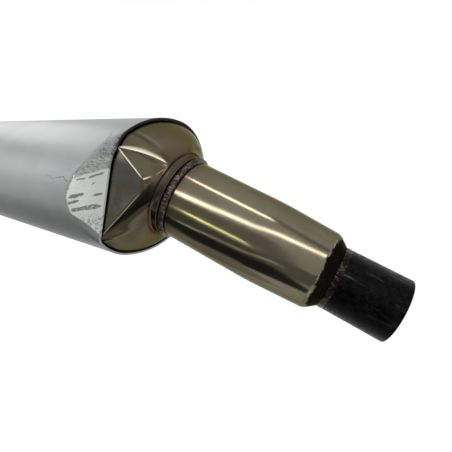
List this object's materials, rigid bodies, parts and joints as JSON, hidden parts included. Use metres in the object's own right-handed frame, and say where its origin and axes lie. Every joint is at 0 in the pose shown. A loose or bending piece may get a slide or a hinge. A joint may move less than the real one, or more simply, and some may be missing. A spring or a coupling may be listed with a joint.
{
  "type": "motorcycle muffler",
  "caption": "Oval silencer canister with pressed end caps, a leaning double-wall inlet pipe, a tail pipe and a hanger; dented at the inlet edge.",
  "frame": {"origin": "centre of the inlet pipe's mouth", "axes": "+X along the canister towards the inlet, +Y along the wide way of the oval, +Z along its narrow way; the inlet pipe leans from the canister towards -Z"},
  "size_m": [0.6949, 0.148, 0.1693],
  "materials": {
    "aluminium_shell": "matt, finely brushed, scraped bare at the dent",
    "joint_sealant": "matt black",
    "inner_steel": "mill finish",
    "glass_wool": "matt fibre mat",
    "tinted_stainless": "smooth pressed sheet with a brown heat tint",
    "weld_metal": "rippled bead, dark heat scale",
    "polished_sleeve": "polished, straw heat tint",
    "sooty_steel": "black with soot and scale, scuffed",
    "wire_mesh": "knitted wire",
    "bracket_steel": "satin",
    "grommet_rubber": "matt black"
  },
  "bodies": {
    "root": {"outer_shell": "aluminium_shell", "inlet_joint_seal": "joint_sealant", "outlet_joint_seal": "joint_sealant", "inner_can": "inner_steel", "inlet_elbow": "inner_steel", "front_baffle": "inner_steel", "rear_baffle": "inner_steel", "core_tube": "inner_steel", "return_tube": "inner_steel", "crossover_tube": "inner_steel", "outlet_tube": "inner_steel", "hanger_backing_plate": "inner_steel", "glass_wool_mat": "glass_wool", "inlet_end_cap": "tinted_stainless", "outlet_end_cap": "tinted_stainless", "inlet_neck_weld": "weld_metal", "inlet_stub_weld": "weld_metal", "tail_pipe_weld": "weld_metal", "inlet_sleeve": "polished_sleeve", "tail_pipe": "polished_sleeve", "inlet_pipe": "sooty_steel", "sleeve_spacer_ring": "wire_mesh", "hanger_bracket": "bracket_steel", "hanger_rivets": "bracket_steel", "hanger_collar": "bracket_steel", "hanger_grommet": "grommet_rubber"}
  },
  "joints": []
}
